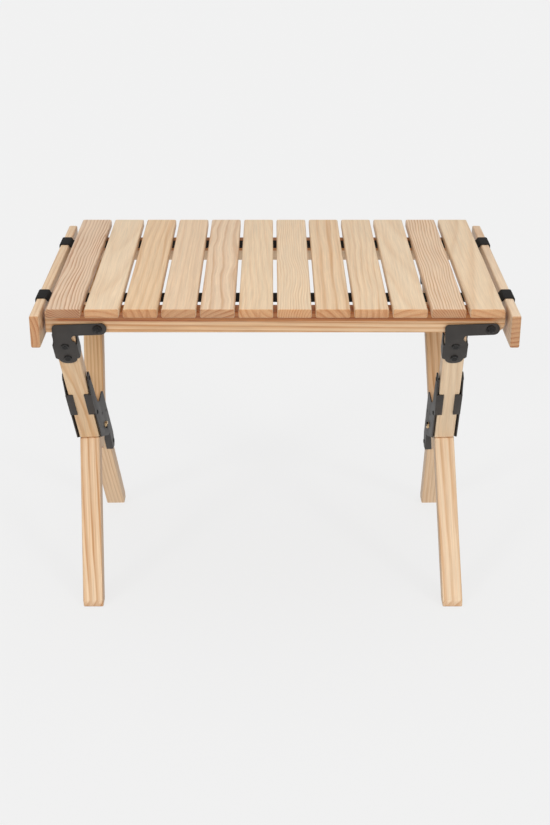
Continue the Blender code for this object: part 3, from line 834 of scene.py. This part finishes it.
class CAMPTABLE_OT_legs(CampTablePiece, bpy.types.Operator):
    """Make the boards of the crossed legs"""

    bl_idname = "camp_table.legs"
    bl_label = "Legs"

    def execute(self, context):
        edge = context.scene.camp_table_sizes.board_round
        for seed, (node, grain) in enumerate(LEG_GRAIN.items(), LEG_SEED):
            board = copy_of(node, node + "_board")
            round_edges(board, edge, 2)
            slope = -LEG_ANGLE if "_leg_b_" in node else LEG_ANGLE
            turn = (math.pi / 2 + slope, -LEAN, 0)
            material = pine(node + "_pine", grain, middle_of(node), turn, seed)
            finish_piece(board, material, node)
        return {"FINISHED"}


def draw_flat(name, path, place, turn):
    """A flat curve through the path's points, in its own X and Y."""
    deselect()
    bpy.ops.curve.primitive_bezier_curve_add(location=place, rotation=turn)
    piece = bpy.context.object
    piece.name = name
    piece.data.dimensions = "2D"
    piece.data.fill_mode = "NONE"
    piece.data.splines.clear()
    line = piece.data.splines.new("POLY")
    line.points.add(len(path) - 1)
    for point, (x, y) in zip(line.points, path):
        point.co = (x, y, 0, 1)
    return piece


def band(name, path, low_y, high_y, thick):
    """A flat strap along a path of (x, z) points, with rounded long edges."""
    strap = draw_flat(name, path, (0, (low_y + high_y) / 2, 0), (math.pi / 2, 0, 0))
    strap.data.extrude = (high_y - low_y) / 2
    bpy.ops.object.convert(target="MESH")
    body = strap.modifiers.new("thickness", "SOLIDIFY")
    body.thickness = thick
    body.offset = 0
    apply_modifiers(strap)
    round_edges(strap, WEBBING_ROUND * thick, 2, angle=60, smooth=40)
    return settle(strap, name)


def turned(name, profile, tip, direction, steps=32):
    """A round piece from its (radius, height) profile, with height 0 at the tip and the axis given."""
    turn = Vector((0, 1, 0)).rotation_difference(Vector(direction)).to_euler()
    piece = draw_flat(name, profile, tip, turn)
    bpy.ops.object.convert(target="MESH")
    lathe = piece.modifiers.new("turn", "SCREW")
    lathe.axis = "Y"
    lathe.steps = steps
    lathe.render_steps = steps
    lathe.use_merge_vertices = True
    lathe.merge_threshold = MERGE
    apply_modifiers(piece)
    bpy.ops.object.mode_set(mode="EDIT")
    bpy.ops.mesh.select_all(action="SELECT")
    bpy.ops.mesh.normals_make_consistent(inside=False)
    bpy.ops.object.mode_set(mode="OBJECT")
    bpy.ops.object.shade_smooth_by_angle(angle=math.radians(32))
    return settle(piece, name)


def section(shares, radius, rise, shank, length):
    """A head's half section in metres, with a plain shank below it."""
    return [(r * radius, h * rise) for r, h in shares] + [(shank, -rise), (shank, -length), (0, -length)]


def tip_of(node, direction):
    """The point of a CAD node that lies furthest in a direction: the top of a head, on its axis."""
    piece = frame["nodes"][node]
    corners = [piece.matrix_world @ vertex.co for vertex in piece.data.vertices]
    return max(corners, key=lambda corner: corner.dot(Vector(direction)))


def leg_turn():
    """How a leg frame leans along the table."""
    return Matrix.Rotation(-LEAN, 3, "Y")


def on_plate(side, face, across, along):
    """A point on a centre plate's outward face, given in millimetres from the crossing, and its normal."""
    y = (across * math.cos(LEG_ANGLE) - along * math.sin(LEG_ANGLE)) * MM
    z = (across * math.sin(LEG_ANGLE) + along * math.cos(LEG_ANGLE)) * MM
    point = middle_of(f"{side}_centre_pin") + leg_turn() @ Vector((face * PLATE_FACE, y, z))
    return point, leg_turn() @ Vector((face, 0, 0))


class CAMPTABLE_OT_straps(CampTablePiece, bpy.types.Operator):
    """Make the webbing straps: one piece across every gap between slats, and one over each end slat"""

    bl_idname = "camp_table.straps"
    bl_label = "Straps"

    def execute(self, context):
        thick = context.scene.camp_table_sizes.strap_thick
        webbing = woven("black_webbing")
        for end in ENDS:
            low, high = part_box(end + "_strap")
            level = (low[2] + high[2]) / 2
            for number in range(1, SLATS):
                here, there = f"slat_{number:02d}", f"slat_{number + 1:02d}"
                begin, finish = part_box(here)[1][0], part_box(there)[0][0]
                path = self.level_path(middle_of(here).x, begin, finish, middle_of(there).x, level)
                strap = band(f"{end}_strap_{number:02d}", path, low[1], high[1], thick)
                self.hang(strap, webbing, here, there, (begin, 0, level), (finish, 0, level))
                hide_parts(end + "_strap")
            for side, last, sign in (("left", "slat_01", -1), ("right", f"slat_{SLATS:02d}", 1)):
                node = f"{end}_strap_end_{side}"
                path = self.end_path(last, f"end_slat_{side}", node, level, sign, thick)
                strap = band(f"{end}_strap_over_{side}", path, low[1], high[1], thick)
                near = reach(node, sign)[0]
                begin = (sign * (near - STRAP_BEND), 0, level)
                self.hang(strap, webbing, last, f"end_slat_{side}", begin, (sign * near, 0, level))
                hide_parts(node)
        return {"FINISHED"}

    def level_path(self, start, begin, finish, stop, level):
        """Under two slats, with close points across the gap between them."""
        bends = [begin + (finish - begin) * step / GAP_STEPS for step in range(GAP_STEPS + 1)]
        return [(x, level) for x in [start] + bends + [stop]]

    def end_path(self, last, end_slat, node, level, sign, thick):
        """From under the last slat, up over the end slat's top edge and down its outer face."""
        low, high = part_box(node)
        near, far = reach(node, sign)
        inner = reach(end_slat, sign)[0]
        outer = far - thick / 2
        top = high[2] - thick / 2
        rise = top - level
        points = [(x, level) for x in (sign * middle_of(last).x, reach(last, sign)[1], near - STRAP_BEND)]
        points += [(near + out * MM, level + share * rise) for out, share in WEBBING_LEAVES]
        points += [(inner + out * MM, level + share * rise) for out, share in WEBBING_CLIMBS]
        points += [(outer + out * MM, top + up * MM) for out, up in WEBBING_TURNS]
        points += [(outer, low[2])]
        return [(sign * x, z) for x, z in points]

    def hang(self, strap, webbing, here, there, start, end):
        """Give a strap its webbing and put its place into its mesh."""
        strap.data.materials.clear()
        strap.data.materials.append(webbing)
        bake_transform(strap)


class CAMPTABLE_OT_brackets(CampTablePiece, bpy.types.Operator):
    """Make the folded steel brackets and the centre plates"""

    bl_idname = "camp_table.brackets"
    bl_label = "Brackets and plates"

    def execute(self, context):
        colours = context.scene.camp_table_colours
        edge = context.scene.camp_table_sizes.steel_round
        coat = powder_coat("charcoal_powder_coat", tuple(colours.coating))
        for side in SIDES:
            for part in ("front_bracket", "rear_bracket", "plate_inner", "plate_outer"):
                node = f"{side}_{part}"
                steel = copy_of(node, node + "_steel")
                round_edges(steel, edge, 2, angle=40, smooth=50)
                finish_piece(steel, coat, node)
        return {"FINISHED"}


class CAMPTABLE_OT_fasteners(CampTablePiece, bpy.types.Operator):
    """Make the dished rivets and screws, and finish the washers and centre pins"""

    bl_idname = "camp_table.fasteners"
    bl_label = "Rivets, screws and pins"

    def execute(self, context):
        colours = context.scene.camp_table_colours
        black = powder_coat("blackened_steel", tuple(colours.fastener), FASTENER_ROUGHNESS)
        brass = bare_metal("drawn_brass", colours.brass)
        for side in SIDES:
            for end, way in ENDS.items():
                self.rivet(f"{side}_{end}_pivot_rivet", way, black)
                outward = leg_turn() @ Vector((0, way * math.cos(LEG_ANGLE), -math.sin(LEG_ANGLE)))
                for place in ("upper", "lower"):
                    node = f"{side}_{end}_bracket_screw_{place}"
                    profile = section(DISHED_HEAD, *BRACKET_SCREW)
                    screw = turned(node + "_head", profile, tip_of(node, outward), outward)
                    finish_piece(screw, black, node)
                node = f"{side}_{end}_pivot_washer"
                washer = copy_of(node, f"{side}_{end}_washer_ring")
                round_edges(washer, WASHER_ROUND, 1, angle=40, smooth=40)
                finish_piece(washer, black, node)
            node = side + "_centre_pin"
            pin = copy_of(node, node + "_bar")
            round_edges(pin, PIN_ROUND, 2, angle=30, smooth=40)
            finish_piece(pin, brass, node)
            for label, face in FACES.items():
                normal = leg_turn() @ Vector((face, 0, 0))
                tip = tip_of(node, normal) + normal * CAP_PROUD
                cap = turned(f"{node}_cap_{label}", section(DISHED_HEAD, *PIN_CAP), tip, normal)
                finish_piece(cap, black, None, body_of_node(node))
        return {"FINISHED"}

    def rivet(self, node, way, metal):
        """A rivet with a dished head outside and a flat closed end behind the rail."""
        low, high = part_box(node)
        length = high[1] - low[1]
        shank_end = length - RIVET_END[0][1] * MM
        profile = section(DISHED_HEAD, *RIVET, shank_end)[:-1]
        profile += [(radius * MM, up * MM - length) for radius, up in RIVET_END]
        piece = turned(node + "_head", profile, tip_of(node, (0, way, 0)), (0, way, 0))
        finish_piece(piece, metal, node)


class CAMPTABLE_OT_plate_details(CampTablePiece, bpy.types.Operator):
    """Make the small screws and the pressed dimples of the centre plates, whose near-black is painted shade
    """

    bl_idname = "camp_table.plate_details"
    bl_label = "Plate screws and dimples"

    def execute(self, context):
        colours = context.scene.camp_table_colours
        sizes = context.scene.camp_table_sizes
        darker = shaded(colours.fastener, SMALL_SCREW_SHADE)
        # Near-black: blackened steel on the small screws, painted shade in the dimples
        black = powder_coat("blackened_screw_steel_and_dimple_shade", darker, FASTENER_ROUGHNESS)
        for side, sign in SIDES.items():
            for face in FACES.values():
                node = f"{side}_plate_{'outer' if face == sign else 'inner'}"
                for number, (across, along) in enumerate(PLATE_SCREW_PLACES, 1):
                    point, normal = on_plate(side, face, across, along)
                    tip = point + normal * PLATE_SCREW_PROUD
                    profile = section(DISHED_HEAD, sizes.plate_screw, *PLATE_SCREW)
                    screw = turned(f"{node}_screw_{number}", profile, tip, normal, SMALL_STEPS)
                    finish_piece(screw, black, None, body_of_node(node))
                for number, (across, along) in enumerate(DIMPLE_PLACES, 1):
                    point, normal = on_plate(side, face, across, along)
                    tip = point + normal * DIMPLE_PROUD
                    shank = DIMPLE_SHANK * sizes.dimple
                    profile = section(DIMPLE, sizes.dimple, DIMPLE_RISE, shank, DIMPLE_LENGTH)
                    dent = turned(f"{node}_dimple_{number}", profile, tip, normal, SMALL_STEPS)
                    finish_piece(dent, black, None, body_of_node(node))
        return {"FINISHED"}


class CAMPTABLE_OT_staples(CampTablePiece, bpy.types.Operator):
    """Make the staples that hold each slat on the straps"""

    bl_idname = "camp_table.staples"
    bl_label = "Staples"

    def execute(self, context):
        sizes = context.scene.camp_table_sizes
        zinc = bare_metal("zinc_wire", context.scene.camp_table_colours.staple)
        for end in ENDS:
            low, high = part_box(end + "_strap")
            y = (low[1] + high[1]) / 2
            under = (low[2] + high[2]) / 2 - sizes.strap_thick / 2
            for number in range(1, SLATS + 1):
                node = f"slat_{number:02d}"
                name = f"{end}_staple_{number:02d}"
                wire = self.wire(name, (middle_of(node).x, y, under), (math.pi / 2, 0, 0), sizes)
                finish_piece(wire, zinc, None, node)
            for side, sign in SIDES.items():
                low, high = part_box(f"{end}_strap_end_{side}")
                place = (low[0] if sign < 0 else high[0], y, low[2] + STAPLE_HEIGHT)
                turn = (math.pi / 2, sign * -math.pi / 2, 0)
                wire = self.wire(f"{end}_staple_{side}", place, turn, sizes)
                finish_piece(wire, zinc, None, f"end_slat_{side}")
        return {"FINISHED"}

    def wire(self, name, place, turn, sizes):
        """One staple: a crown across the strap and two legs that go through it into the wood."""
        half = sizes.staple_width / 2
        drop = STAPLE_OFF * sizes.staple_wire
        left = [(-half, STAPLE_LEG), (-half, STAPLE_CORNER - drop), (STAPLE_CORNER - half, -drop)]
        path = left + [(-x, y) for x, y in reversed(left)]
        staple = draw_flat(name, path, place, turn)
        staple.data.bevel_depth = sizes.staple_wire / 2
        staple.data.bevel_resolution = 2
        staple.data.use_fill_caps = True
        bpy.ops.object.convert(target="MESH")
        bpy.ops.object.shade_smooth_by_angle(angle=math.radians(50))
        return settle(staple, name)


class CAMPTABLE_OT_stage(CampTablePiece, bpy.types.Operator):
    """Make the floor, the soft studio light and the photograph's camera"""

    bl_idname = "camp_table.stage"
    bl_label = "Stage"

    def execute(self, context):
        scene = context.scene
        scene.view_settings.view_transform = "Standard"
        deselect()
        bpy.ops.mesh.primitive_plane_add(size=FLOOR_SIDE, location=(0, 0, 0))
        floor = bpy.context.object
        floor.name = "floor"
        # The floor's glow doesn't light the wood, and the light from below comes through the floor
        floor.visible_diffuse = False
        floor.visible_shadow = False
        floor.data.materials.append(glowing("pale_floor", srgb(FLOOR_COLOUR), WHITE, FLOOR_GLOW))
        self.backdrop()
        world = bpy.data.worlds.new("studio")
        world.use_nodes = True
        sky = world.node_tree.nodes["Background"]
        sky.inputs["Color"].default_value = WHITE
        sky.inputs["Strength"].default_value = SKY_STRENGTH
        scene.world = world
        for light in LIGHTS:
            self.soft_light(*light)
        deselect()
        bpy.ops.object.camera_add(location=CAMERA_PLACE, rotation=(math.pi / 2 - CAMERA_PITCH, 0, 0))
        camera = bpy.context.object
        camera.name = "photo_camera"
        camera.data.sensor_width = SENSOR
        camera.data.lens = PHOTO_FOCAL / PHOTO_LONG_SIDE * SENSOR
        camera.data.shift_x = (PHOTO_MIDDLE[0] - PHOTO_AXIS[0]) / PHOTO_LONG_SIDE
        camera.data.shift_y = (PHOTO_AXIS[1] - PHOTO_MIDDLE[1]) / PHOTO_LONG_SIDE
        scene.camera = camera
        return {"FINISHED"}

    def backdrop(self):
        """A pale dome behind everything, as bright as the floor. Only the camera sees it."""
        deselect()
        bpy.ops.mesh.primitive_uv_sphere_add(radius=DOME_RADIUS)
        dome = bpy.context.object
        dome.name = "backdrop"
        for rays in ("diffuse", "glossy", "transmission", "volume_scatter", "shadow"):
            setattr(dome, "visible_" + rays, False)
        dome.data.materials.append(glowing("backdrop_paper", BLACK, srgb(BACKDROP_COLOUR), 1.0))

    def soft_light(self, name, tilt, turn, strength, spread):
        """A soft light from far away, equally strong all over the table and the floor."""
        deselect()
        bpy.ops.object.light_add(type="SUN", rotation=(math.radians(tilt), 0, math.radians(turn)))
        light = bpy.context.object
        light.name = name
        light.data.energy = strength
        light.data.angle = math.radians(spread)


class CAMPTABLE_PT_pieces(bpy.types.Panel):
    """The table's pieces, sizes and colours"""

    bl_idname = "CAMPTABLE_PT_pieces"
    bl_label = "Camp table"
    bl_space_type = "VIEW_3D"
    bl_region_type = "UI"
    bl_category = "Camp table"

    def draw(self, context):
        for operator in STEPS:
            self.layout.operator(operator.bl_idname)
        for group in (context.scene.camp_table_sizes, context.scene.camp_table_colours):
            for key in group.__annotations__:
                self.layout.prop(group, key)


STEPS = (
    CAMPTABLE_OT_stage,
    CAMPTABLE_OT_slats,
    CAMPTABLE_OT_straps,
    CAMPTABLE_OT_rails,
    CAMPTABLE_OT_legs,
    CAMPTABLE_OT_brackets,
    CAMPTABLE_OT_fasteners,
    CAMPTABLE_OT_plate_details,
    CAMPTABLE_OT_staples,
)
CLASSES = (CampTableColours, CampTableSizes) + STEPS + (CAMPTABLE_PT_pieces,)


def register():
    for kind in CLASSES:
        bpy.utils.register_class(kind)
    bpy.types.Scene.camp_table_colours = bpy.props.PointerProperty(type=CampTableColours)
    bpy.types.Scene.camp_table_sizes = bpy.props.PointerProperty(type=CampTableSizes)


def unregister():
    del bpy.types.Scene.camp_table_sizes
    del bpy.types.Scene.camp_table_colours
    for kind in reversed(CLASSES):
        bpy.utils.unregister_class(kind)


def main():
    register()
    for operator in STEPS:
        group, name = operator.bl_idname.split(".")
        getattr(getattr(bpy.ops, group), name)()


if __name__ == "__main__":
    main()
